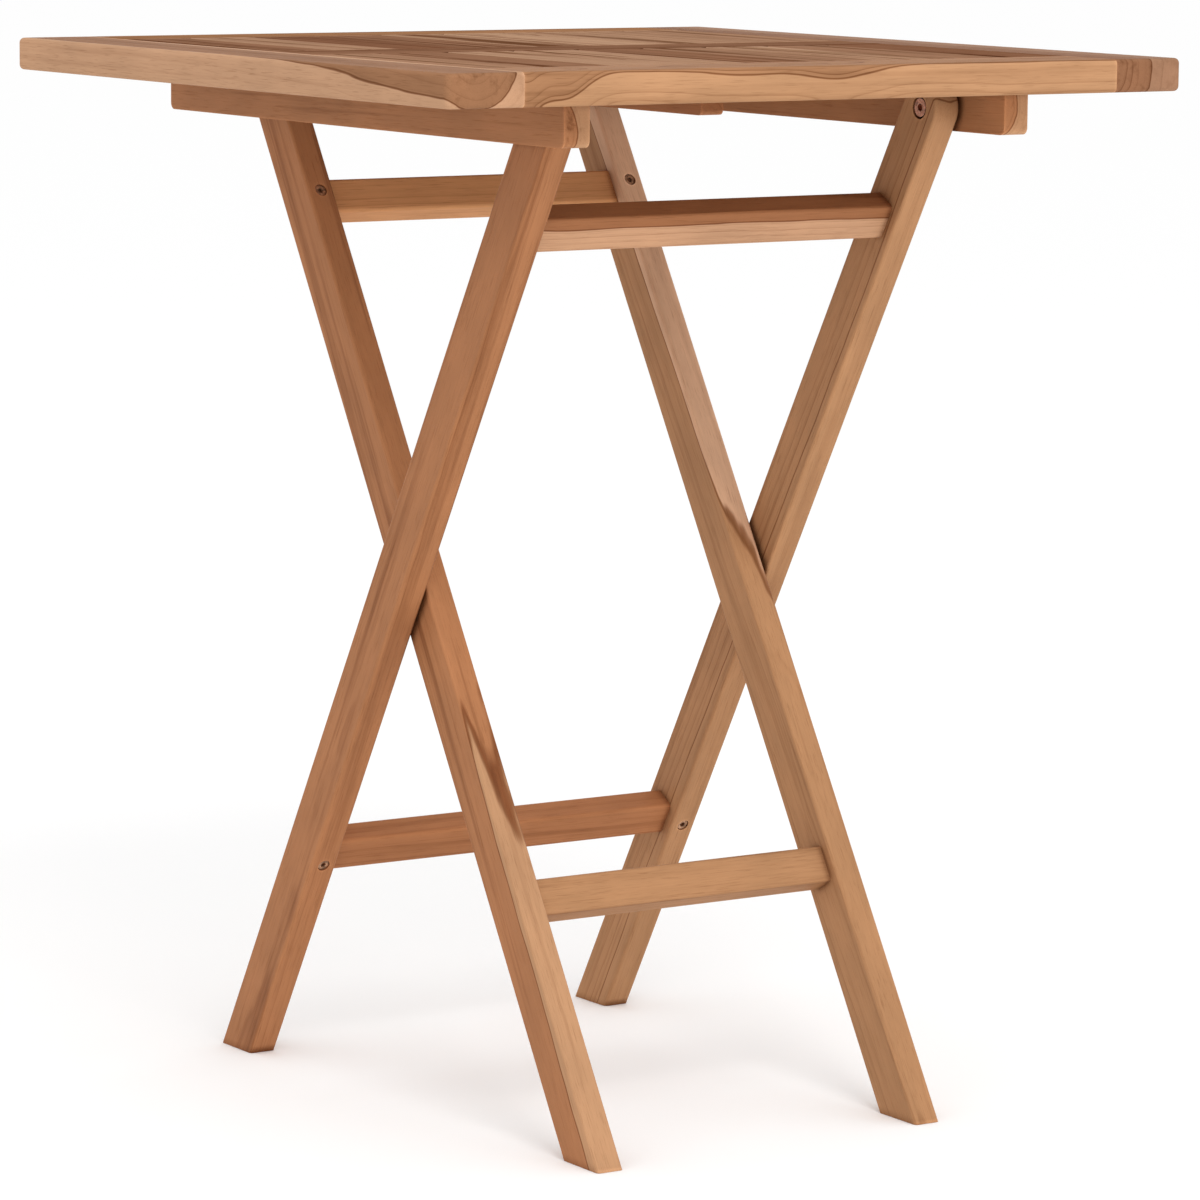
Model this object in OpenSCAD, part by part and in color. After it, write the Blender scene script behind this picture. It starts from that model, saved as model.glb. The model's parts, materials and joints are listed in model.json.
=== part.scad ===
// Folding picnic table: a slatted square top that hinges on a scissor base of two leg frames.
// X runs along the front edge, Y from front to back, Z up. The origin is on the floor, under
// the centre of the top. All lengths are in millimetres.

/* [Table] */
// Width of the top, along X
table_w = 600; // [560:10:640]
// Depth of the top, along Y
table_d = 600; // [560:10:640]
// Height of the top's upper face above the floor
table_h = 750; // [720:10:780]

/* [Top] */
// Thickness of the stiles and rails
frame_t = 23; // [20:1:24]
// Width of the two stiles, along X
stile_w = 58; // [52:1:64]
// Width of the front and back rails, along Y
end_rail_w = 57; // [50:1:60]
// Width of the middle rail, along Y
mid_rail_w = 56; // [50:1:64]
// Slats in each of the two panels
slat_count = 9; // [7:1:10]
// Open gap between two slats
slat_gap = 3.3; // [2:0.1:5]
// Thickness of a slat
slat_t = 15.5; // [13:0.5:15.5]
// Plan radius of the top's corners
corner_r = 6; // [6:1:14]
// Radius along the top's outer edges
edge_r = 3.5; // [2:0.5:5]

/* [Legs] */
// Width of a leg, seen from the side
leg_w = 38; // [34:1:38]
// Thickness of a leg, along X
leg_t = 21; // [19:1:23]
// Radius along a leg's long edges
leg_r = 2.5; // [2:0.5:5]
// Outer face of the outer legs, from the table's middle plane
outer_x = 168; // [150:1:172]
// Gap between an outer leg and the inner leg beside it
leg_gap = 2.5; // [2:0.1:4]
// Foot of the outer legs, behind the centre of the top
outer_foot_y = 211; // [200:1:220]
// Foot of the inner legs, in front of the centre of the top
inner_foot_y = 226; // [215:1:235]
// Height of a cross rail's section, along the leg
rail_h = 27; // [25:1:32]
// Thickness of a cross rail's section, across the leg
rail_t = 20; // [18:1:22]

/* [Hinges] */
// Top hinge, in from the front edge
hinge_inset = 100; // [95:1:105]
// Top hinge, below the upper face
hinge_drop = 36; // [36:1:40]
// Catch bar, in from the back edge
catch_inset = 93; // [90:1:100]
// Catch bar, below the upper face
catch_drop = 41; // [40:1:42]
// Diameter of the catch bar
bar_d = 12; // [10:1:12]

/* [Hidden] */
$fn = 48;
eps = 1;               // how far a cut runs past the face it opens
joint = 0.1;           // gap round a tenon or a tongue
seat = 0.05;           // radial clearance of a pin, a bolt or a screw in its hole
head_air = 0.4;        // radial clearance of a screw's head in its pocket
air = 0.3;             // gap between faces that turn past each other

wood = [0.72, 0.46, 0.28];
pale_wood = [0.80, 0.58, 0.38];
dark_wood = [0.60, 0.36, 0.22];
steel = [0.62, 0.61, 0.58];
brass = [0.72, 0.58, 0.32];
nylon = [0.16, 0.14, 0.13];

// top frame
half_w = table_w / 2;
half_d = table_d / 2;
frame_z = table_h - frame_t;             // underside of stiles and rails
mid_z = table_h - frame_t / 2;
stile_x = half_w - stile_w;              // inner edge of a stile
panel_y0 = mid_rail_w / 2;               // a panel's edge at the middle rail
panel_y1 = half_d - end_rail_w;          // a panel's edge at the end rail
tenon = [32, 40, 8];                     // length, width and thickness of a rail's tenon
tongue = [8, 5];                         // length and thickness of a slat's tongue
tongue_step = 1;                         // how far a tongue stands in from its slat's sides
slat_w = (2 * stile_x - 2 * joint - (slat_count - 1) * slat_gap) / slat_count;
slat_pitch = slat_w + slat_gap;
slat_r = 1.5;
slat_z = table_h - slat_t / 2;

// battens and runners under the top
batten_t = 20;
batten_h = 29.5;
batten_len = table_d - 66;               // each end stops 33 mm in from the top's edge
batten_r = 5;
washer_t = 2.2;
batten_x = outer_x + air + washer_t;     // inner face of a batten
runner_t = 19;
runner_h = 28;
runner_gap = 1;                          // between an inner leg and the runner beside it
runner_y0 = 6;
runner_y1 = half_d - 35;
runner_r = 4;

// the two leg frames
inner_x = outer_x - leg_t - leg_gap;     // outer face of an inner leg
runner_x = inner_x - leg_t - runner_gap; // outer face of a runner
notch_air = 0.5;                         // clearance round the catch bar in a runner's notch
hinge_y = hinge_inset - half_d;
hinge_z = table_h - hinge_drop;
catch_y = half_d - catch_inset;
catch_z = table_h - catch_drop;
outer_lean = atan2(outer_foot_y - hinge_y, hinge_z);
inner_lean = atan2(catch_y + inner_foot_y, catch_z);
cross_z = (outer_foot_y + inner_foot_y) / (tan(outer_lean) + tan(inner_lean));
cross_y = outer_foot_y - cross_z * tan(outer_lean);
outer_tip = (hinge_z - cross_z) / cos(outer_lean);   // from the crossing to the top hinge
inner_tip = (catch_z - cross_z) / cos(inner_lean);   // from the crossing to the catch bar
outer_rail_s = [-234, 309];              // cross rails, along the leg from the crossing
inner_rail_s = [-239, 311];
rail_r = 2.5;
stub = [15, 10, 20];                     // length, thickness and height of a cross rail's tenon

// pins, bolts, washers and screws
cross_pin_r = 5;
cross_pin_depth = 13;                    // how deep the crossing pin sits in each leg
hinge_bolt_r = 4;
washer_rim = 5;                          // how far a washer reaches past its bolt or pin
hinge_head = [6.5, 4];                   // radius and height of a hinge bolt's head
hinge_socket = [2.9, 2.4];               // radius and depth of its hexagon socket
hinge_pocket = [8, 5];                   // radius and depth of the pocket round that head
insert_r = 6;
insert_len = 13;
bolt_short = 1;                          // how far short of its insert's end a hinge bolt stops
bar_depth = 12;                          // how deep the catch bar sits in each inner leg
socket_share = [0.52, 0.6];              // a screw's socket, as shares of its head's radius and height
rail_screw = [4.3, 4, 2.5, 26];          // head radius and height, shank radius and length
rail_screw_pocket = 5;
wood_screw = [4.2, 3.5, 2.2, 36];
wood_screw_pocket = 6;
runner_screw = [4.2, 3.5, 2.2, 34];
batten_screw_y = [-1, 0, 1] * (half_d - 45);
runner_screw_y = [runner_y0 + 11, runner_y1 - 11];

function panel_names(panel) = [for (i = [1:slat_count]) str("slat_", panel, "_", i)];

// ---------------------------------------------------------------- shared shapes

// A flat shape drawn in Y and Z, extruded along X from x0 to x1.
module along_x(x0, x1) {
    translate([x0, 0, 0])
        rotate([90, 0, 90])
            linear_extrude(x1 - x0)
                children();
}

// A flat shape drawn in X and Z, extruded along Y from y0 to y1.
module along_y(y0, y1) {
    translate([0, y1, 0])
        rotate([90, 0, 0])
            linear_extrude(y1 - y0)
                children();
}

// A rectangle, centred, with four round corners.
module round_rect(w, h, r) {
    square([w - 2 * r, h], center = true);
    square([w, h - 2 * r], center = true);
    for (x = [-1, 1], y = [-1, 1])
        translate([x * (w / 2 - r), y * (h / 2 - r)])
            circle(r);
}

// A rectangle from 0 to w, centred on h, with the two corners at w rounded.
module round_end(w, h, r) {
    intersection() {
        translate([w / 2 - r, 0])
            round_rect(w + 2 * r, h, r);
        translate([0, -h / 2])
            square([w, h]);
    }
}

// A bar seen from the side, from u0 to u1, with the two lower corners rounded.
module round_foot(u0, u1, h, r) {
    translate([u0, r])
        square([u1 - u0, h - r]);
    translate([u0 + r, 0])
        square([u1 - u0 - 2 * r, h]);
    for (u = [u0 + r, u1 - r])
        translate([u, r])
            circle(r);
}

// A pin or a hole along X, from x0 to x1, centred on Y = Z = 0.
module pin_x(r, x0, x1) {
    translate([x0, 0, 0])
        rotate([0, 90, 0])
            cylinder(r = r, h = x1 - x0);
}

// A ring along X.
module ring_x(r_out, r_in, x0, x1) {
    difference() {
        pin_x(r_out, x0, x1);
        pin_x(r_in, x0 - eps, x1 + eps);
    }
}

// A screw pointing along +Z with its head below Z = 0 and a hexagon socket in the head.
module screw(size) {
    difference() {
        union() {
            translate([0, 0, -size[1]])
                cylinder(r = size[0], h = size[1]);
            cylinder(r = size[2], h = size[3] - size[2]);
            translate([0, 0, size[3] - size[2]])
                cylinder(r1 = size[2], r2 = size[2] / 4, h = size[2]);
        }
        translate([0, 0, -size[1] - eps])
            cylinder(r = size[0] * socket_share[0], h = size[1] * socket_share[1] + eps, $fn = 6);
    }
}

// The hole for such a screw, with its pocket opening at Z = -pocket.
module screw_hole(size, pocket) {
    translate([0, 0, -pocket - eps])
        cylinder(r = size[0] + head_air, h = pocket + eps);
    cylinder(r = size[2] + seat, h = size[3] + joint);
}

// Both sides of the table, from one drawn on the right.
module both_sides() {
    children();
    mirror([1, 0, 0])
        children();
}

// ---------------------------------------------------------------- top frame

// A stile on the right: its ends, its outer edge and its two plan corners are round.
module stile() {
    flat_x = half_w - corner_r;
    flat_y = half_d - corner_r;
    difference() {
        translate([0, 0, mid_z]) {
            along_x(stile_x, flat_x)
                round_rect(table_d, frame_t, edge_r);
            translate([flat_x, 0, 0])
                along_y(-flat_y, flat_y)
                    round_end(corner_r, frame_t, edge_r);
            for (side = [0, 1])
                mirror([0, side, 0])
                    translate([flat_x, flat_y, 0])
                        rotate_extrude(angle = 90)
                            round_end(corner_r, frame_t, edge_r);
        }
        for (y = [-1, 0, 1])
            translate([stile_x, y * (half_d - end_rail_w / 2), mid_z])
                tenon_block(joint);
    }
}

// A rail's tenon, pointing along +X from X = 0, or the mortise that takes it.
module tenon_block(gap) {
    reach = gap > 0 ? eps : 0;
    translate([(tenon[0] + gap - reach) / 2, 0, 0])
        cube([tenon[0] + gap + reach, tenon[1] + 2 * gap, tenon[2] + 2 * gap], center = true);
}

// The groove for the slats' tongues, cut in -Y from Y = 0.
module slat_groove() {
    translate([-stile_x - eps, -tongue[0] - 2 * joint, slat_z - tongue[1] / 2 - joint])
        cube([2 * (stile_x + eps), tongue[0] + 2 * joint + eps, tongue[1] + 2 * joint]);
}

// The back rail, whose round edge is at the back. The front rail is its mirror image.
module end_rail() {
    difference() {
        union() {
            along_x(-stile_x, stile_x)
                translate([panel_y1, mid_z])
                    round_end(end_rail_w, frame_t, edge_r);
            both_sides()
                translate([stile_x, half_d - end_rail_w / 2, mid_z])
                    tenon_block(0);
        }
        mirror([0, 1, 0])
            translate([0, -panel_y1, 0])
                slat_groove();
        top_screw_holes();
    }
}

module middle_rail() {
    difference() {
        union() {
            along_x(-stile_x, stile_x)
                translate([0, mid_z])
                    square([mid_rail_w, frame_t], center = true);
            both_sides()
                translate([stile_x, 0, mid_z])
                    tenon_block(0);
        }
        for (side = [0, 1])
            mirror([0, side, 0])
                translate([0, panel_y0, 0])
                    slat_groove();
        top_screw_holes();
    }
}

// Slat number i of a panel, drawn for the back panel.
module slat(i) {
    x = (i - (slat_count + 1) / 2) * slat_pitch;
    translate([x, 0, slat_z]) {
        along_y(panel_y0 + joint, panel_y1 - joint)
            round_rect(slat_w, slat_t, slat_r);
        translate([tongue_step - slat_w / 2, panel_y0 - tongue[0], -tongue[1] / 2])
            cube([slat_w - 2 * tongue_step, panel_y1 - panel_y0 + 2 * tongue[0], tongue[1]]);
    }
}

// ---------------------------------------------------------------- under the top

// Where the screws go up through the battens, on the right.
module at_batten_screws() {
    for (y = batten_screw_y)
        translate([batten_x + batten_t / 2, y, frame_z - batten_h + wood_screw_pocket])
            children();
}

module at_runner_screws() {
    for (y = runner_screw_y)
        translate([runner_x - runner_t / 2, y, frame_z - runner_h + wood_screw_pocket])
            children();
}

module top_screw_holes() {
    both_sides() {
        at_batten_screws()
            screw_hole(wood_screw, wood_screw_pocket);
        at_runner_screws()
            screw_hole(runner_screw, wood_screw_pocket);
    }
}

module batten() {
    difference() {
        along_x(batten_x, batten_x + batten_t)
            translate([0, frame_z - batten_h])
                round_foot(-batten_len / 2, batten_len / 2, batten_h, batten_r);
        at_batten_screws()
            screw_hole(wood_screw, wood_screw_pocket);
        translate([0, hinge_y, hinge_z])
            pin_x(insert_r + seat, batten_x - eps, batten_x + insert_len + seat);
    }
}

// A runner has a notch, open below, that the catch bar drops into.
module runner() {
    notch_r = bar_d / 2 + notch_air;
    difference() {
        along_x(runner_x - runner_t, runner_x)
            difference() {
                translate([0, frame_z - runner_h])
                    round_foot(runner_y0, runner_y1, runner_h, runner_r);
                translate([catch_y, catch_z])
                    circle(notch_r);
                translate([catch_y, catch_z])
                    notch_mouth(notch_r);
            }
        at_runner_screws()
            screw_hole(runner_screw, wood_screw_pocket);
    }
}

// The way out of the notch: upright at the back, sloping at 45 degrees at the front.
module notch_mouth(r) {
    drop = runner_h;
    slope = r * sin(45);
    polygon([
        [r, 0],
        [-slope, slope],
        [-slope - drop - slope, -drop],
        [r, -drop]
    ]);
}

// ---------------------------------------------------------------- leg frames

// A leg frame's own axes: Z along the leg from the crossing, Y square to it, X as the table's.
module leg_axes(lean) {
    translate([0, cross_y, cross_z])
        rotate([lean, 0, 0])
            children();
}

// A leg on the right, its outer face at x_out, its round end at the distance tip.
module leg_blank(lean, x_out, tip) {
    foot = cross_z / cos(lean) + leg_w;
    difference() {
        leg_axes(lean)
            translate([x_out - leg_t / 2, 0, 0]) {
                translate([0, 0, -foot])
                    linear_extrude(foot + tip)
                        round_rect(leg_t, leg_w, leg_r);
                translate([0, 0, tip])
                    rotate([0, -90, 0])
                        rotate([0, 0, -90])
                            rotate_extrude(angle = 180)
                                round_end(leg_w / 2, leg_t, leg_r);
            }
        translate([0, 0, -2 * leg_w])
            cube([table_w, 2 * table_d, 4 * leg_w], center = true);
    }
}

// The cuts a leg needs for its lower and upper cross rails. The lower rail's screw points to the
// side given, the upper one's to the other side, so that all heads face in under the table.
module rail_cuts(x_out, rail_s, side) {
    for (i = [0, 1])
        translate([0, 0, rail_s[i]]) {
            stub_tenon(x_out - leg_t, joint);
            at_rail_screw(x_out, i == 0 ? side : -side)
                screw_hole(rail_screw, rail_screw_pocket);
        }
}

// A cross rail's stub tenon, from its shoulder at x, or the mortise that takes it.
module stub_tenon(x, gap) {
    reach = gap > 0 ? eps : 0;
    translate([x - reach, -stub[1] / 2 - gap, -stub[2] / 2 - gap])
        cube([stub[0] + gap + reach, stub[1] + 2 * gap, stub[2] + 2 * gap]);
}

// Where a rail's screw sits: in the middle of a leg's narrow face, pointing to the side given.
module at_rail_screw(x_out, side) {
    translate([x_out - leg_t / 2, side * (rail_screw_pocket - leg_w / 2), 0])
        rotate([-90 * side, 0, 0])
            children();
}

module outer_leg() {
    difference() {
        leg_blank(outer_lean, outer_x, outer_tip);
        leg_axes(outer_lean) {
            rail_cuts(outer_x, outer_rail_s, 1);
            pin_x(cross_pin_r + seat, outer_x - leg_t - eps, outer_x - leg_t + cross_pin_depth + air);
            translate([0, 0, outer_tip]) {
                pin_x(hinge_bolt_r + seat, outer_x - leg_t - eps, outer_x + eps);
                pin_x(hinge_pocket[0], outer_x - leg_t - eps, outer_x - leg_t + hinge_pocket[1]);
            }
        }
    }
}

module inner_leg() {
    difference() {
        leg_blank(-inner_lean, inner_x, inner_tip);
        leg_axes(-inner_lean) {
            rail_cuts(inner_x, inner_rail_s, -1);
            pin_x(cross_pin_r + seat, inner_x - cross_pin_depth - joint, inner_x + eps);
            translate([0, 0, inner_tip])
                pin_x(bar_d / 2 + seat, inner_x - leg_t - eps, inner_x - leg_t + bar_depth + joint);
        }
    }
}

// A cross rail between the legs whose outer faces are at x_out, at the distance s.
module cross_rail(lean, x_out, s, side) {
    shoulder = x_out - leg_t;
    leg_axes(lean)
        translate([0, 0, s])
            difference() {
                union() {
                    along_x(-shoulder, shoulder)
                        round_rect(rail_t, rail_h, rail_r);
                    both_sides()
                        stub_tenon(shoulder, 0);
                }
                both_sides()
                    at_rail_screw(x_out, side)
                        screw_hole(rail_screw, rail_screw_pocket);
            }
}

module rail_screws(lean, x_out, rail_s, side) {
    leg_axes(lean)
        both_sides()
            for (i = [0, 1])
                translate([0, 0, rail_s[i]])
                    at_rail_screw(x_out, i == 0 ? side : -side)
                        screw(rail_screw);
}

// ---------------------------------------------------------------- pins and bolts

// The hinge bolt's head is in the outer leg's pocket and its end is in the batten's insert.
module hinge_bolt() {
    pocket_x = outer_x - leg_t + hinge_pocket[1];
    translate([0, hinge_y, hinge_z])
        difference() {
            union() {
                pin_x(hinge_head[0], pocket_x - air - hinge_head[1], pocket_x - air);
                pin_x(hinge_bolt_r, pocket_x - air - eps, batten_x + insert_len - bolt_short);
            }
            translate([pocket_x - air - hinge_head[1] - eps, 0, 0])
                rotate([0, 90, 0])
                    cylinder(r = hinge_socket[0], h = hinge_socket[1] + eps, $fn = 6);
        }
}

module hinge_insert() {
    translate([0, hinge_y, hinge_z])
        ring_x(insert_r, hinge_bolt_r + seat, batten_x, batten_x + insert_len);
}

module hinge_washer() {
    translate([0, hinge_y, hinge_z])
        ring_x(hinge_bolt_r + washer_rim, hinge_bolt_r + seat, batten_x - washer_t, batten_x);
}

module cross_pin() {
    leg_axes(0)
        pin_x(cross_pin_r, inner_x - cross_pin_depth, outer_x - leg_t + cross_pin_depth);
}

module cross_washer() {
    leg_axes(0)
        ring_x(cross_pin_r + washer_rim, cross_pin_r + seat, inner_x, outer_x - leg_t - 2 * air);
}

module bar() {
    reach = inner_x - leg_t + bar_depth;
    translate([0, catch_y, catch_z])
        pin_x(bar_d / 2, -reach, reach);
}

// ---------------------------------------------------------------- nodes

module stile_left() { color(pale_wood) mirror([1, 0, 0]) stile(); }
module stile_right() { color(wood) stile(); }
module rail_front() { color(pale_wood) mirror([0, 1, 0]) end_rail(); }
module rail_middle() { color(dark_wood) middle_rail(); }
module rail_back() { color(wood) end_rail(); }
module slat_front(i) { color(wood) mirror([0, 1, 0]) slat(i); }
module slat_back(i) { color(dark_wood) slat(i); }
module batten_left() { color(wood) mirror([1, 0, 0]) batten(); }
module batten_right() { color(wood) batten(); }
module runner_left() { color(wood) mirror([1, 0, 0]) runner(); }
module runner_right() { color(wood) runner(); }
module batten_screws() { color(steel) both_sides() at_batten_screws() screw(wood_screw); }
module runner_screws() { color(steel) both_sides() at_runner_screws() screw(runner_screw); }
module hinge_inserts() { color(brass) both_sides() hinge_insert(); }
module hinge_washers() { color(nylon) both_sides() hinge_washer(); }
module hinge_bolts() { color(brass) both_sides() hinge_bolt(); }
module outer_leg_left() { color(wood) mirror([1, 0, 0]) outer_leg(); }
module outer_leg_right() { color(wood) outer_leg(); }
module outer_rail_upper() { color(pale_wood) cross_rail(outer_lean, outer_x, outer_rail_s[1], -1); }
module outer_rail_lower() { color(pale_wood) cross_rail(outer_lean, outer_x, outer_rail_s[0], 1); }
module outer_rail_screws() { color(brass) rail_screws(outer_lean, outer_x, outer_rail_s, 1); }
module inner_leg_left() { color(wood) mirror([1, 0, 0]) inner_leg(); }
module inner_leg_right() { color(wood) inner_leg(); }
module inner_rail_upper() { color(dark_wood) cross_rail(-inner_lean, inner_x, inner_rail_s[1], 1); }
module inner_rail_lower() { color(dark_wood) cross_rail(-inner_lean, inner_x, inner_rail_s[0], -1); }
module inner_rail_screws() { color(brass) rail_screws(-inner_lean, inner_x, inner_rail_s, -1); }
module catch_bar() { color(steel) bar(); }
module cross_pins() { color(steel) both_sides() cross_pin(); }
module cross_washers() { color(nylon) both_sides() cross_washer(); }

stile_left();
stile_right();
rail_front();
rail_middle();
rail_back();
for (i = [1:slat_count]) {
    slat_front(i);
    slat_back(i);
}
batten_left();
batten_right();
runner_left();
runner_right();
batten_screws();
runner_screws();
hinge_inserts();
hinge_washers();
hinge_bolts();
outer_leg_left();
outer_leg_right();
outer_rail_upper();
outer_rail_lower();
outer_rail_screws();
inner_leg_left();
inner_leg_right();
inner_rail_upper();
inner_rail_lower();
inner_rail_screws();
catch_bar();
cross_pins();
cross_washers();
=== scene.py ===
"""Looks of the folding picnic table: every board is cut from its own solid piece of oiled teak."""

import json
import math
import random

import bpy
from mathutils import Matrix, Vector


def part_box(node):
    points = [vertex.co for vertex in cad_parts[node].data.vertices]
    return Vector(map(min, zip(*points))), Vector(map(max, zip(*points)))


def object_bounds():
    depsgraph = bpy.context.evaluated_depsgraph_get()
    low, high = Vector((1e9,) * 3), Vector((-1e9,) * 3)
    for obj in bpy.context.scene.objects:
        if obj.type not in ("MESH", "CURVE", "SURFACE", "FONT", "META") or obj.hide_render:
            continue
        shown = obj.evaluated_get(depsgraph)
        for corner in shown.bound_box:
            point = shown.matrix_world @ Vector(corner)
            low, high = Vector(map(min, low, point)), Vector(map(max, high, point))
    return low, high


MM = 0.001
WHITE = (1.0, 1.0, 1.0, 1.0)
NEARNESS_SAMPLES = 4
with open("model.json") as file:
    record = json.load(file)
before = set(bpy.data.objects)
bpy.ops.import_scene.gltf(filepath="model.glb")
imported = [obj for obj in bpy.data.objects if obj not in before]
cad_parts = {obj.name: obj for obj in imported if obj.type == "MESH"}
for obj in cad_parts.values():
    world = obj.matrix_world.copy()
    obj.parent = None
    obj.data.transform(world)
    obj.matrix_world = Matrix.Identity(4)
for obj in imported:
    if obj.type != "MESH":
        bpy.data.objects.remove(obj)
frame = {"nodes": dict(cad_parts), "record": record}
nodes = frame["nodes"]
cad_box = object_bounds()


# ---------------------------------------------------------------- node helpers


class Net:
    """Wires shader nodes in one node tree."""

    def __init__(self, tree):
        self.tree = tree

    def plug(self, socket, value):
        """Links a socket to a socket, or sets its value. None leaves it as it is."""
        if isinstance(value, bpy.types.NodeSocket):
            self.tree.links.new(value, socket)
        elif value is not None:
            socket.default_value = value

    def node(self, kind, inputs=None, **settings):
        made = self.tree.nodes.new(kind)
        for name, value in settings.items():
            setattr(made, name, value)
        for key, value in (inputs or {}).items():
            self.plug(made.inputs[key], value)
        return made

    def math(self, operation, a, b=None, c=None, clamp=False):
        made = self.node("ShaderNodeMath", operation=operation, use_clamp=clamp)
        for socket, value in zip(made.inputs, (a, b, c)):
            self.plug(socket, value)
        return made.outputs[0]

    def vector(self, operation, a, b=None):
        made = self.node("ShaderNodeVectorMath", operation=operation)
        self.plug(made.inputs[0], a)
        self.plug(made.inputs[1], b)
        return made.outputs

    def wave(self, value, middle, size, onto):
        """A noise value centred on its middle, scaled and added onto another value."""
        return self.math("MULTIPLY_ADD", self.math("SUBTRACT", value, middle), size, onto)

    def noise(self, place, per_metre, detail=2.0, roughness=0.5):
        """Noise with so many waves to the metre along each axis."""
        inputs = {
            "Vector": self.vector("MULTIPLY", place, per_metre)[0],
            "Scale": 1.0,
            "Detail": detail,
            "Roughness": roughness,
        }
        return self.node("ShaderNodeTexNoise", inputs).outputs["Fac"]

    def step(self, value, low, high):
        """Rises smoothly from 0 at low to 1 at high."""
        inputs = {"Value": value, "From Min": low, "From Max": high}
        return self.node("ShaderNodeMapRange", inputs, interpolation_type="SMOOTHSTEP").outputs[0]

    def curve(self, value, stops):
        """A line through the stops, with sharp corners."""
        made = self.node("ShaderNodeFloatCurve", {"Value": value})
        points = made.mapping.curves[0].points
        while len(points) < len(stops):
            points.new(0.5, 0.5)
        for point, place in zip(points, stops):
            point.location = place
            point.handle_type = "VECTOR"
        made.mapping.update()
        return made.outputs[0]

    def mix(self, factor, a, b, blend="MIX"):
        made = self.node("ShaderNodeMix", data_type="RGBA", blend_type=blend)
        chosen = {socket.identifier: socket for socket in made.inputs}
        self.plug(chosen["Factor_Float"], factor)
        self.plug(chosen["A_Color"], a)
        self.plug(chosen["B_Color"], b)
        return next(socket for socket in made.outputs if socket.identifier == "Result_Color")

    def nearness(self, reach, **settings):
        """Falls from 1 where other surfaces come nearer than the reach, in metres."""
        settings["samples"] = NEARNESS_SAMPLES
        return self.node("ShaderNodeAmbientOcclusion", {"Distance": reach}, **settings).outputs["AO"]

    def stain(self, factor, color, tint):
        """Multiplies the colour by a tint, where the factor says so."""
        return self.mix(factor, color, (*tint, 1.0), "MULTIPLY")

    def relief(self, strength, depth, height):
        inputs = {"Strength": strength, "Distance": depth, "Height": height}
        return self.node("ShaderNodeBump", inputs).outputs[0]

    def surface(self, finish):
        shader = self.node("ShaderNodeBsdfPrincipled", finish)
        self.node("ShaderNodeOutputMaterial", {"Surface": shader.outputs[0]})


def new_material(name):
    material = bpy.data.materials.new(name)
    material.use_nodes = True
    material.node_tree.nodes.clear()
    return material, Net(material.node_tree)


def dress(names, material):
    """Gives the named CAD nodes one material."""
    for name in names:
        nodes[name].data.materials.clear()
        nodes[name].data.materials.append(material)


# ---------------------------------------------------------------- teak

WOOD_INPUTS = [
    ("Place", "NodeSocketVector"),
    ("Normal", "NodeSocketVector"),
    ("Grain", "NodeSocketVector"),
    ("Seed", "NodeSocketFloat"),
    ("Swell", "NodeSocketFloat"),
    ("Heart", "NodeSocketFloat"),
    ("Ring", "NodeSocketFloat"),
    ("Line", "NodeSocketFloat"),
    ("Streak", "NodeSocketFloat"),
    ("Heartwood", "NodeSocketColor"),
    ("Sapwood", "NodeSocketColor"),
]
WOOD_OUTPUTS = [("Color", "NodeSocketColor"), ("Roughness", "NodeSocketFloat"), ("Height", "NodeSocketFloat")]

LINE_TINT = (0.40, 0.27, 0.19)
STREAK_TINT = (0.42, 0.31, 0.24)
PORE_TINT = (0.42, 0.30, 0.22)
END_TINT = (0.94, 0.92, 0.91)
# Painted shade for the creases.
CREASE_SHADE_TINT = (0.36, 0.25, 0.18)
# Painted highlight for the arrises.
ARRIS_HIGHLIGHT_TINT = (1.5, 1.5, 1.5)

SLOW_WAVES = (2.0, 11.0, 11.0)
SLOW_BEND = 0.011
QUICK_WAVES = (15.0, 65.0, 65.0)
QUICK_BEND = 0.0034
YEAR_SHAPE = [(0.0, 0.35), (0.06, 0.04), (0.5, 0.06), (0.84, 0.34), (0.94, 1.0), (1.0, 0.35)]
FAINT_YEARS = 1.6
SAP_EDGE = (-0.0002, 0.0006)
RIM_FADE = (0.0002, 0.0008)
STREAK_WAVES = (1.8, 110.0, 110.0)
BAND_WAVES = (0.8, 24.0, 24.0)
FIBRE_WAVES = (20.0, 1000.0, 1000.0)
MOTTLE_WAVES = (14.0, 40.0, 40.0)
PORE_WAVES = (45.0, 2000.0, 2000.0)
PORE_FADE = (0.60, 0.70)

NOISE_MIDDLE = 0.5
STREAK_MIDDLE = 0.47
STREAK_SHADE = -5.0
BAND_SHADE = -2.6
FIBRE_SHADE = 0.5
MOTTLE_LIGHT = 0.4
FIBRE_LIGHT = 0.22
SAP_SHARE = 0.8
SAP_STREAK_LOSS = -0.5
SAP_LINE_LOSS = -0.45
RIM_SHARE = 0.8
PORE_SHARE = 0.3

# Painted shade in the creases, where other surfaces come near:
CREASE_REACH = 0.006
CREASE_FADE = (0.35, 0.95)
CREASE_SHADE_SHARE = 0.9
# Painted highlight on the arrises:
ARRIS_REACH = 0.003
ARRIS_FADE = (0.45, 0.85)
ARRIS_HIGHLIGHT_SHARE = 0.7
END_FACING = (0.75, 0.95)

WOOD_ROUGHNESS = 0.58
STREAK_ROUGHNESS = -0.14
PORE_ROUGHNESS = 0.15
END_ROUGHNESS = 0.12
FIBRE_HEIGHT = 0.6
PORE_HEIGHT = -0.9
LINE_HEIGHT = -0.5
RELIEF_STRENGTH = 0.35
RELIEF_DEPTH = 0.25 * MM


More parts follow.
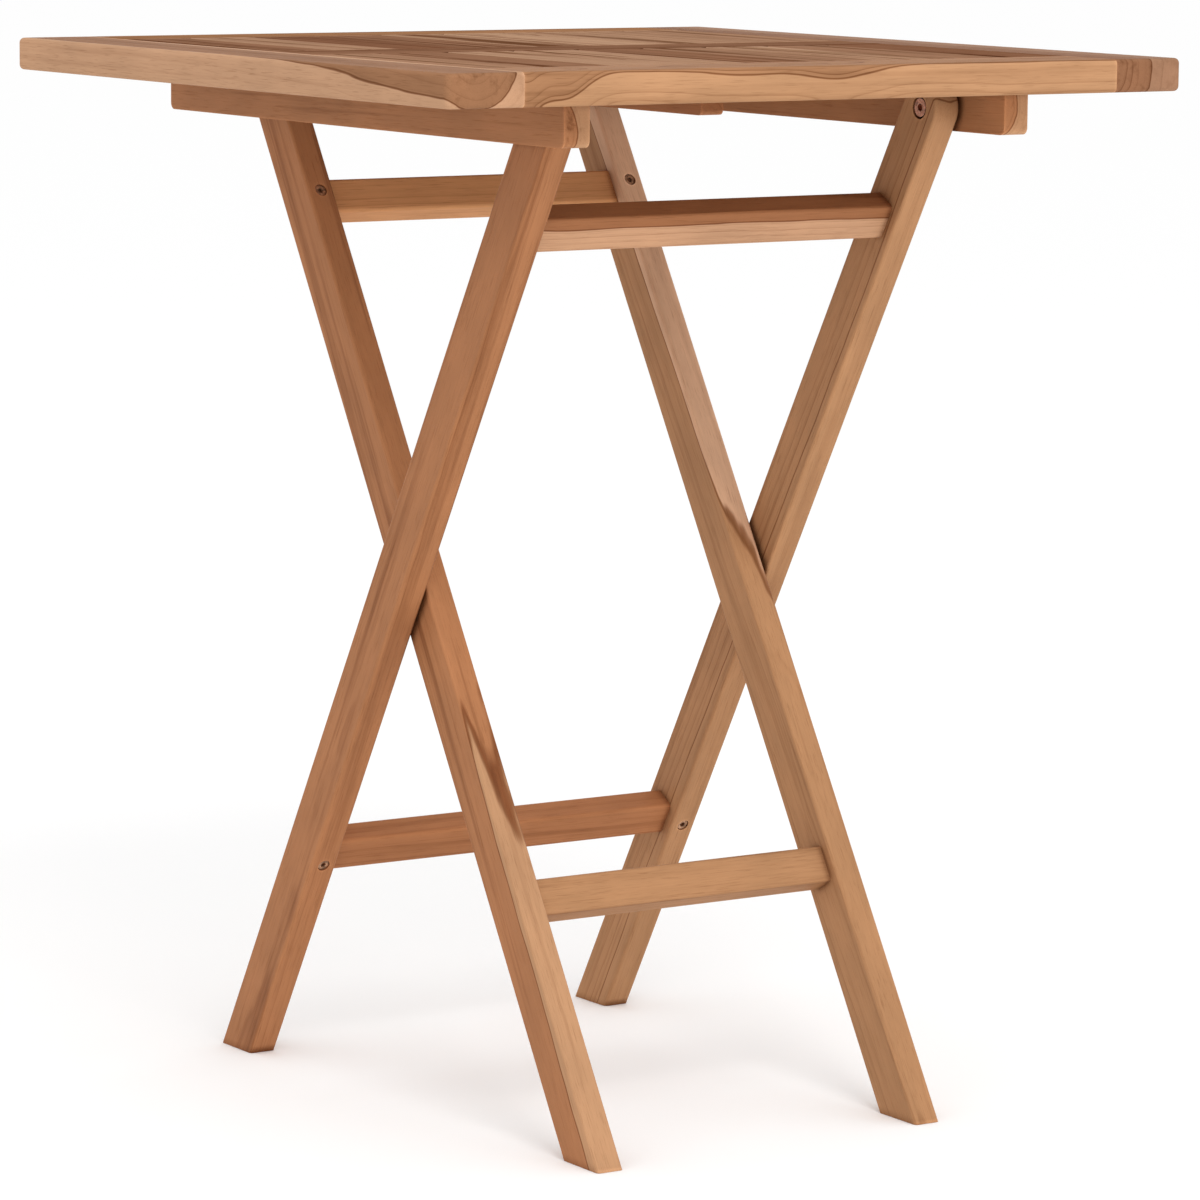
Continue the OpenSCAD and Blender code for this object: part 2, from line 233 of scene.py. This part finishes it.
def growth(net, given, place):
    """The distance from the pith, bent by slow and quick waves and by the swell of the rings."""
    slow = net.noise(place, SLOW_WAVES)
    quick = net.noise(place, QUICK_WAVES)
    across = net.vector("MULTIPLY", given["Place"], (0.0, 1.0, 1.0))[0]
    radius = net.vector("LENGTH", across)["Value"]
    radius = net.math("SUBTRACT", radius, given["Swell"])
    radius = net.wave(slow, NOISE_MIDDLE, SLOW_BEND, radius)
    return net.wave(quick, NOISE_MIDDLE, QUICK_BEND, radius)


def ring_lines(net, given, radius):
    """Thin dark lines where each year's growth ends, some strong and some faint."""
    turn = net.math("DIVIDE", radius, given["Ring"])
    label = net.math("ADD", net.math("FLOOR", turn), given["Seed"])
    year = net.node("ShaderNodeTexWhiteNoise", {"W": label}, noise_dimensions="1D").outputs["Value"]
    line = net.curve(net.math("FRACT", turn), YEAR_SHAPE)
    line = net.math("MULTIPLY", line, net.math("POWER", year, FAINT_YEARS))
    return net.math("MULTIPLY", line, given["Line"])


def textures(net, place):
    """The noises that the colour, the roughness and the relief share."""
    return {
        "streak": net.noise(place, STREAK_WAVES, 4.0, 0.65),
        "band": net.noise(place, BAND_WAVES),
        "fibre": net.noise(place, FIBRE_WAVES, 3.0, 0.6),
        "mottle": net.noise(place, MOTTLE_WAVES, 3.0),
        "pore": net.step(net.noise(place, PORE_WAVES, 1.0), *PORE_FADE),
    }


def streaks(net, given, texture, sap):
    """Dark streaks along the grain, half as strong in the sapwood."""
    shade = net.wave(texture["streak"], STREAK_MIDDLE, STREAK_SHADE, 0.0)
    shade = net.wave(texture["band"], NOISE_MIDDLE, BAND_SHADE, shade)
    shade = net.wave(texture["fibre"], NOISE_MIDDLE, FIBRE_SHADE, shade)
    shade = net.math("MULTIPLY", shade, given["Streak"])
    kept = net.math("MULTIPLY_ADD", sap, SAP_STREAK_LOSS, 1.0)
    return net.math("MULTIPLY", shade, kept, clamp=True)


def figure(net, given, texture, radius):
    """The colour and the dark lines: heartwood inside, and sapwood outside past a thin dark rim."""
    bark = net.math("SUBTRACT", radius, given["Heart"])
    sap = net.step(bark, *SAP_EDGE)
    rim = net.math("SUBTRACT", 1.0, net.step(net.math("ABSOLUTE", bark), *RIM_FADE))
    color = net.mix(net.math("MULTIPLY", sap, SAP_SHARE), given["Heartwood"], given["Sapwood"])
    color = net.stain(streaks(net, given, texture, sap), color, STREAK_TINT)
    light = net.wave(texture["mottle"], NOISE_MIDDLE, MOTTLE_LIGHT, 1.0)
    light = net.wave(texture["fibre"], NOISE_MIDDLE, FIBRE_LIGHT, light)
    color = net.vector("MULTIPLY", color, light)[0]
    line = ring_lines(net, given, radius)
    line = net.math("MULTIPLY", line, net.math("MULTIPLY_ADD", sap, SAP_LINE_LOSS, 1.0))
    line = net.math("MAXIMUM", line, net.math("MULTIPLY", rim, RIM_SHARE))
    color = net.stain(line, color, LINE_TINT)
    color = net.stain(net.math("MULTIPLY", texture["pore"], PORE_SHARE), color, PORE_TINT)
    return color, line


def end_grain_and_painted_light(net, color, end):
    """Duller end grain, painted shade in the creases and painted highlights on the arrises."""
    color = net.stain(end, color, END_TINT)
    # Painted shade: darker in the creases, where other surfaces come near.
    crease_shade = net.math("SUBTRACT", 1.0, net.step(net.nearness(CREASE_REACH), *CREASE_FADE))
    color = net.stain(net.math("MULTIPLY", crease_shade, CREASE_SHADE_SHARE), color, CREASE_SHADE_TINT)
    # Painted highlight: paler along the arrises, as if they caught the light.
    arris = net.nearness(ARRIS_REACH, inside=True, only_local=True)
    arris_highlight = net.math("SUBTRACT", 1.0, net.step(arris, *ARRIS_FADE))
    return net.stain(net.math("MULTIPLY", arris_highlight, ARRIS_HIGHLIGHT_SHARE), color, ARRIS_HIGHLIGHT_TINT)


def teak_group():
    """The solid figure of teak. Its X axis is the tree's pith, and its lengths are in metres."""
    tree = bpy.data.node_groups.new("teak", "ShaderNodeTree")
    for name, kind in WOOD_INPUTS:
        tree.interface.new_socket(name, in_out="INPUT", socket_type=kind)
    for name, kind in WOOD_OUTPUTS:
        tree.interface.new_socket(name, in_out="OUTPUT", socket_type=kind)
    net = Net(tree)
    given = net.node("NodeGroupInput").outputs
    place = net.vector("ADD", given["Place"], given["Seed"])[0]

    texture = textures(net, place)
    color, line = figure(net, given, texture, growth(net, given, place))
    facing = net.vector("DOT_PRODUCT", given["Normal"], given["Grain"])["Value"]
    end = net.step(net.math("ABSOLUTE", facing), *END_FACING)
    # Duller end grain, then painted shade in the creases and painted highlights on the arrises.
    color = end_grain_and_painted_light(net, color, end)
    rough = net.math("MULTIPLY_ADD", texture["streak"], STREAK_ROUGHNESS, WOOD_ROUGHNESS)
    rough = net.math("MULTIPLY_ADD", texture["pore"], PORE_ROUGHNESS, rough)
    rough = net.math("MULTIPLY_ADD", end, END_ROUGHNESS, rough)
    height = net.math("MULTIPLY", texture["pore"], PORE_HEIGHT)
    height = net.math("MULTIPLY_ADD", texture["fibre"], FIBRE_HEIGHT, height)
    height = net.math("MULTIPLY_ADD", line, LINE_HEIGHT, height)
    net.node("NodeGroupOutput", {"Color": color, "Roughness": rough, "Height": height})
    return tree


def board_axes(grain):
    """A board's own axes as columns: along the grain, to its side, and up, or forward on a steep board."""
    along = grain.normalized()
    steep = abs(along.z) > 0.5
    up = Vector((0, -1, 0)) if steep else Vector((0, 0, 1))
    aside = up.cross(along).normalized()
    return Matrix((along, aside, along.cross(aside))).transposed()


def swell_of_rings(net, place, swells):
    """How far the rings bulge out: a bell for each place along the board, size and reach, in millimetres."""
    along = net.node("ShaderNodeSeparateXYZ", {0: place}).outputs[0]
    total = 0.0
    for middle, size, reach in swells:
        off = net.math("DIVIDE", net.math("SUBTRACT", along, middle * MM), reach * MM)
        bell = net.math("EXPONENT", net.math("MULTIPLY", net.math("MULTIPLY", off, off), -1.0))
        total = net.math("MULTIPLY_ADD", bell, size * MM, total)
    return total


def teak(node, grain, seed, heartwood, **figure):
    """Cuts a CAD board from its own tree. The figure is in millimetres, and its tilts in degrees."""
    settings = {**PLAIN_FIGURE, **figure}
    low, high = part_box(node)
    axes = board_axes(grain)
    pith = axes @ Vector((0, settings["pith"][0], settings["pith"][1])) * MM
    lean = Matrix.Rotation(math.radians(settings["tilt"][0]), 3, "Y")
    turn = Matrix.Rotation(math.radians(settings["tilt"][1]), 3, "Z")
    material, net = new_material(f"teak_{node}")
    where = net.node("ShaderNodeTexCoord").outputs
    mapping = net.node("ShaderNodeMapping", {"Vector": where["Object"]}, vector_type="TEXTURE")
    mapping.inputs["Location"].default_value = (low + high) / 2 + pith
    mapping.inputs["Rotation"].default_value = (axes @ lean @ turn).to_euler()
    place = mapping.outputs[0]
    inputs = {
        "Place": place,
        "Normal": where["Normal"],
        "Grain": grain.normalized(),
        "Seed": seed,
        "Swell": swell_of_rings(net, place, settings["swells"]),
        "Heart": settings["heart"] * MM,
        "Ring": settings["ring"] * MM,
        "Line": settings["line"],
        "Streak": settings["streak"],
        "Heartwood": (*heartwood, 1.0),
        "Sapwood": (*settings["sapwood"], 1.0),
    }
    wood = net.node("ShaderNodeGroup", node_tree=TEAK)
    for key, value in inputs.items():
        net.plug(wood.inputs[key], value)
    finish = {
        "Base Color": wood.outputs["Color"],
        "Roughness": wood.outputs["Roughness"],
        "Normal": net.relief(RELIEF_STRENGTH, RELIEF_DEPTH, wood.outputs["Height"]),
        "Specular IOR Level": settings["gloss"],
    }
    net.surface(finish)
    dress([node], material)


# ---------------------------------------------------------------- boards

SIDEWAYS = Vector((1, 0, 0))
BACKWARD = Vector((0, 1, 0))
joints = frame["record"]["behaviour"]["joints"]
pivots = {joint["name"]: Vector(joint["pos_m"]) for joint in joints}
catch_low, catch_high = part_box("catch_bar")
OUTER = pivots["top_fold"] - pivots["fold"]
INNER = (catch_low + catch_high) / 2 - pivots["fold"]

PALE = (0.47, 0.265, 0.142)
BRIGHT = (0.56, 0.325, 0.190)
TAN = (0.40, 0.205, 0.098)
HONEY = (0.38, 0.158, 0.068)
RUSSET = (0.25, 0.100, 0.042)
CREAM = (0.44, 0.265, 0.165)
UMBER = (0.215, 0.098, 0.053)
# Pale sapwood, made paler still as painted light for the shade under the top.
STRAW_WITH_PAINTED_LIGHT = (0.68, 0.42, 0.27)
# Painted light: a brighter orange than the wood, standing in for the light it gets in the shade under the
# top.
AMBER_WITH_PAINTED_LIGHT = (0.57, 0.275, 0.12)

PLAIN_FIGURE = {
    "pith": (30, -45),
    "tilt": (0.6, 0.4),
    "heart": 400,
    "swells": (),
    "ring": 5.5,
    "line": 0.45,
    "streak": 0.5,
    "sapwood": PALE,
    "gloss": 0.06,
}
TEAK = teak_group()
SLAT_SEED = 41
SLAT_TONES = {"front": 0.56, "back": 0.6}
SLAT_SPREAD = (-0.35, 0.45)


def between(a, b, share):
    """A colour part of the way from one to another."""
    return tuple(x + (y - x) * share for x, y in zip(a, b))


def frame_boards():
    """The front board and the left one show where the pale sapwood begins."""
    teak(
        "stile_left", BACKWARD, 3.1, between(TAN, UMBER, 0.6), pith=(2, 21.5), tilt=(0, -1.0),
        heart=26, swells=[(-300, 7, 130)], sapwood=between(BRIGHT, CREAM, 0.3),
        ring=5, line=0.4, streak=0.5, gloss=0.01,
    )
    teak(
        "stile_right", BACKWARD, 8.3, between(TAN, UMBER, 0.8), pith=(56, 6),
        heart=55, ring=5, line=0.8, sapwood=between(CREAM, UMBER, 0.5), gloss=0.01,
    )
    teak(
        "rail_front", SIDEWAYS, 5.2, between(TAN, UMBER, 0.38), pith=(6, 38), tilt=(0, 0), heart=42.6,
        swells=[(-212, 14, 24), (-243, 19, 16), (-70, 3.5, 40), (5, 7, 38)],
        ring=4.5, line=0.8, streak=0.6, sapwood=between(PALE, TAN, 0.4), gloss=0.01,
    )
    teak("rail_middle", SIDEWAYS, 6.4, between(UMBER, CREAM, 0.15), streak=1.5, sapwood=CREAM, gloss=0.0)
    teak(
        "rail_back", SIDEWAYS, 2.7, between(TAN, UMBER, 0.4), pith=(20, 35),
        heart=50, streak=1.2, sapwood=CREAM, gloss=0.0,
    )


def slats():
    """Streaky boards of many tones, each with its own pith and heart."""
    rng = random.Random(SLAT_SEED)
    count = sum(1 for name in nodes if name.startswith("slat_front_"))
    for panel, tone in SLAT_TONES.items():
        for i in range(1, count + 1):
            share = min(1.0, max(0.0, tone + rng.uniform(*SLAT_SPREAD)))
            teak(
                f"slat_{panel}_{i}",
                BACKWARD,
                rng.uniform(0, 50),
                between(CREAM, UMBER, share),
                pith=(rng.uniform(-60, 60), rng.uniform(-60, -20)),
                tilt=(rng.uniform(-1.6, 1.6), rng.uniform(-1.2, 1.2)),
                heart=rng.uniform(45, 140),
                ring=rng.uniform(3.0, 6.0),
                line=rng.uniform(0.7, 1.0),
                streak=rng.uniform(1.5, 2.7),
                sapwood=CREAM,
                gloss=0.0,
            )


def battens():
    warm = between(HONEY, TAN, 0.3)
    teak("batten_left", BACKWARD, 12.4, warm, pith=(30, -6), heart=30, streak=0.8)
    teak("batten_right", BACKWARD, 17.8, warm, pith=(30, 4), heart=30, streak=0.8)
    teak("runner_left", BACKWARD, 22.5, HONEY, ring=5)
    teak("runner_right", BACKWARD, 27.1, HONEY, ring=5)


def legs():
    warm = between(HONEY, TAN, 0.15)
    teak("outer_leg_left", OUTER, 31.2, warm, pith=(60, 12), ring=7, line=0.5, streak=0.6)
    teak(
        "outer_leg_right", OUTER, 34.9, between(HONEY, TAN, 0.9), pith=(-6, -30), tilt=(0.2, 0.8),
        heart=49, ring=6, sapwood=between(TAN, PALE, 0.1),
    )
    teak(
        "inner_leg_left", INNER, 37.3, warm, pith=(-4, -12), tilt=(-1.4, 0.2),
        heart=29, ring=7, line=0.6, streak=0.7,
    )
    # Its sapwood is pale, and made paler still as painted light for the shade under the top.
    teak(
        "inner_leg_right", INNER, 44.6, TAN, pith=(6, -36), tilt=(2.0, 0.5),
        heart=50, swells=[(-110, 4, 60)], line=0.35, sapwood=STRAW_WITH_PAINTED_LIGHT,
    )


def cross_rails():
    teak(
        "outer_rail_upper", SIDEWAYS, 51.7, between(HONEY, RUSSET, 0.6), pith=(-12, 32), tilt=(0, 0),
        heart=33, ring=5, line=0.7, sapwood=BRIGHT,
    )
    teak("outer_rail_lower", SIDEWAYS, 55.3, HONEY, pith=(14, -22), ring=5)
    # Painted light: a brighter orange than its neighbours, standing in for the light it gets in the shade
    # under the top.
    teak("inner_rail_upper", SIDEWAYS, 58.8, AMBER_WITH_PAINTED_LIGHT, pith=(20, 25), ring=5)
    teak("inner_rail_lower", SIDEWAYS, 63.4, TAN, pith=(10, -28), ring=5, line=0.7)


# ---------------------------------------------------------------- metal and nylon

TARNISH_WAVES = (260.0, 260.0, 260.0)
TARNISH_FADE = (0.35, 0.7)
TARNISH_SHADE = 0.4
SCRATCH_WAVES = (900.0, 5200.0, 5200.0)
SCRATCH_STRENGTH = 0.3
SCRATCH_DEPTH = 0.1 * MM
ROUGHNESS_SPREAD = 0.3
# Reach of the painted shade on the metal:
METAL_SHADE_REACH = 0.002
NYLON_WAVES = (1500.0, 1500.0, 1500.0)
NYLON_ROUGHNESS = 0.5
NYLON_DARK = (0.010, 0.009, 0.008, 1.0)
NYLON_LIGHT = (0.030, 0.027, 0.024, 1.0)


def metal(name, color, roughness):
    """Turned metal with fine scratches, a little tarnish and painted shade where other surfaces come near."""
    material, net = new_material(name)
    where = net.node("ShaderNodeTexCoord").outputs["Object"]
    tarnish = net.noise(where, TARNISH_WAVES, 4.0, 0.6)
    scratch = net.noise(where, SCRATCH_WAVES)
    dull = tuple(TARNISH_SHADE * part for part in color)
    tint = net.mix(net.step(tarnish, *TARNISH_FADE), (*color, 1.0), (*dull, 1.0))
    # Painted shade: darker where other surfaces come near.
    tint = net.stain(net.math("SUBTRACT", 1.0, net.nearness(METAL_SHADE_REACH)), tint, CREASE_SHADE_TINT)
    finish = {
        "Base Color": tint,
        "Metallic": 1.0,
        "Roughness": net.wave(tarnish, NOISE_MIDDLE, ROUGHNESS_SPREAD, roughness),
        "Normal": net.relief(SCRATCH_STRENGTH, SCRATCH_DEPTH, scratch),
    }
    net.surface(finish)
    return material


def nylon():
    """Dark moulded nylon with a faint grain."""
    material, net = new_material("nylon")
    where = net.node("ShaderNodeTexCoord").outputs["Object"]
    grain = net.noise(where, NYLON_WAVES)
    tint = net.mix(grain, NYLON_DARK, NYLON_LIGHT)
    finish = {
        "Base Color": tint,
        "Roughness": net.wave(grain, NOISE_MIDDLE, ROUGHNESS_SPREAD, NYLON_ROUGHNESS),
        "Normal": net.relief(SCRATCH_STRENGTH, SCRATCH_DEPTH, grain),
    }
    net.surface(finish)
    return material


def fasteners():
    """Copper at the hinges, bronze in the legs, and steel and nylon where little shows."""
    dress(["hinge_bolts", "hinge_inserts"], metal("copper_plate", (0.64, 0.32, 0.22), 0.3))
    dress(["outer_rail_screws", "inner_rail_screws"], metal("dull_bronze", (0.66, 0.40, 0.25), 0.6))
    steel = metal("steel", (0.58, 0.57, 0.55), 0.3)
    dress(["batten_screws", "runner_screws", "catch_bar", "cross_pins"], steel)
    dress(["hinge_washers", "cross_washers"], nylon())


# ---------------------------------------------------------------- stage

CAMERA_PLACE = Vector((-2.1136, -3.2541, 0.9126))
CAMERA_YAW = math.radians(33.196)
CAMERA_PITCH = math.radians(-8.212)
CAMERA_ROLL = math.radians(0.508)
CAMERA_LENS = 162.78
CAMERA_SENSOR = 36.0
FLOOR_REACH = 60.0
FLOOR_DROP = 0.2 * MM
FLOOR_WHITE = (0.97, 0.97, 0.97, 1.0)
FLOOR_ROUGHNESS = 0.9
SKY_STRENGTH = 1.02
KEY_LAMP = {"offset": (-0.7, -2.7, 2.6), "size": 1.8, "watts": 42}
FILL_LAMP = {"offset": (0.9, -3.2, -0.1), "size": 1.2, "watts": 19}


def add_object(name, data):
    made = bpy.data.objects.new(name, data)
    bpy.context.scene.collection.objects.link(made)
    return made


def floor():
    """A wide white floor, a hair under the feet."""
    corners = [(x * FLOOR_REACH, y * FLOOR_REACH, 0) for x, y in ((-1, -1), (1, -1), (1, 1), (-1, 1))]
    mesh = bpy.data.meshes.new("floor")
    mesh.from_pydata(corners, [], [(0, 1, 2, 3)])
    plane = add_object("floor", mesh)
    plane.location.z = -FLOOR_DROP
    material, net = new_material("floor")
    net.surface({"Base Color": FLOOR_WHITE, "Roughness": FLOOR_ROUGHNESS, "Specular IOR Level": 0.0})
    mesh.materials.append(material)


def area_light(name, offset, size, watts):
    """A soft round lamp that looks at the middle of the table."""
    middle = (cad_box[0] + cad_box[1]) / 2
    lamp = bpy.data.lights.new(name, "AREA")
    lamp.shape = "DISK"
    lamp.size = size
    lamp.energy = watts
    holder = add_object(name, lamp)
    holder.location = middle + Vector(offset)
    holder.visible_camera = False
    holder.rotation_mode = "QUATERNION"
    holder.rotation_quaternion = (-Vector(offset)).to_track_quat("-Z", "Y")


def studio():
    """White surroundings, with a broad soft key from the front left and a weaker fill from the right."""
    area_light("key", **KEY_LAMP)
    area_light("fill", **FILL_LAMP)
    world = bpy.data.worlds.new("studio")
    world.use_nodes = True
    background = world.node_tree.nodes["Background"]
    background.inputs["Color"].default_value = WHITE
    background.inputs["Strength"].default_value = SKY_STRENGTH
    bpy.context.scene.world = world
    bpy.context.scene.view_settings.view_transform = "Standard"


def camera():
    """Well back from the table, with a long lens."""
    flat = Vector((math.sin(CAMERA_YAW), math.cos(CAMERA_YAW), 0))
    ahead = flat * math.cos(CAMERA_PITCH) + Vector((0, 0, math.sin(CAMERA_PITCH)))
    level = Vector((math.cos(CAMERA_YAW), -math.sin(CAMERA_YAW), 0))
    level_up = level.cross(ahead)
    right = level * math.cos(CAMERA_ROLL) + level_up * math.sin(CAMERA_ROLL)
    up = right.cross(ahead)
    lens = bpy.data.cameras.new("camera")
    lens.lens = CAMERA_LENS
    lens.sensor_width = CAMERA_SENSOR
    lens.clip_end = 4 * FLOOR_REACH
    holder = add_object("camera", lens)
    turned = Matrix((right, up, -ahead)).transposed().to_4x4()
    holder.matrix_world = Matrix.Translation(CAMERA_PLACE) @ turned
    bpy.context.scene.camera = holder


frame_boards()
slats()
battens()
legs()
cross_rails()
fasteners()
floor()
studio()
camera()
